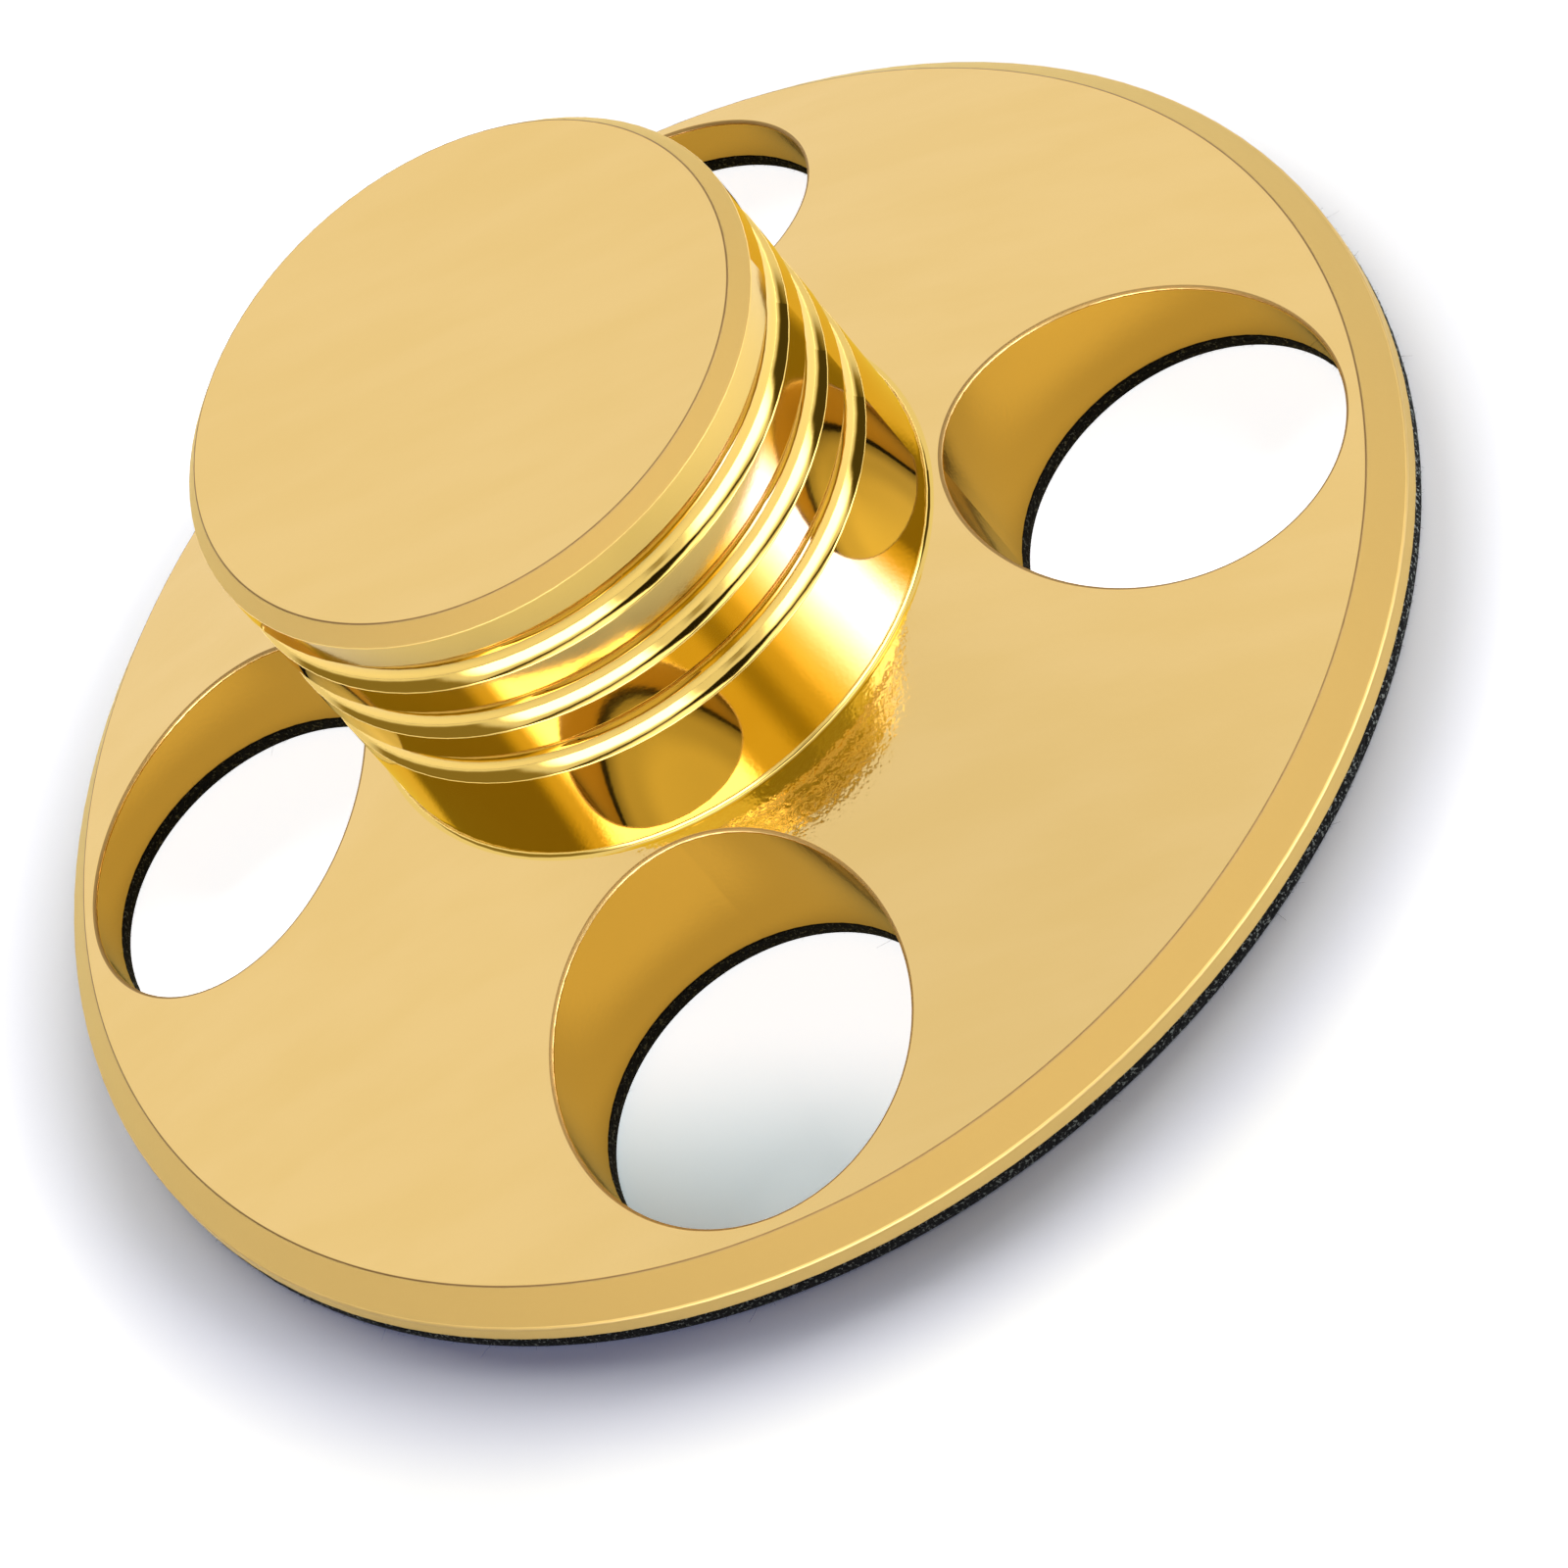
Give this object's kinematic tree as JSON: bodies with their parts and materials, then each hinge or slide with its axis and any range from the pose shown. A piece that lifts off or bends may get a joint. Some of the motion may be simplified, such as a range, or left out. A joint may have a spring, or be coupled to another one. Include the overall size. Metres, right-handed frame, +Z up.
{
  "type": "record weight clamp",
  "caption": "Gold-coloured turned record weight: a conical disc with large through holes and a grooved knob, on a black felt pad, with a blind bore for a turntable spindle.",
  "frame": {"origin": "middle of the felt's underside, which rests on the record's label", "axes": "+Z up along the turning axis; the four holes lie on the X and Y axes"},
  "size_m": [0.08, 0.08, 0.031],
  "materials": {
    "gold_metal": "turned and gold anodised, bright on the knob's side and satin elsewhere",
    "black_felt": "pressed felt"
  },
  "bodies": {
    "root": {"weight_body": "gold_metal", "felt_pad": "black_felt"}
  },
  "joints": []
}
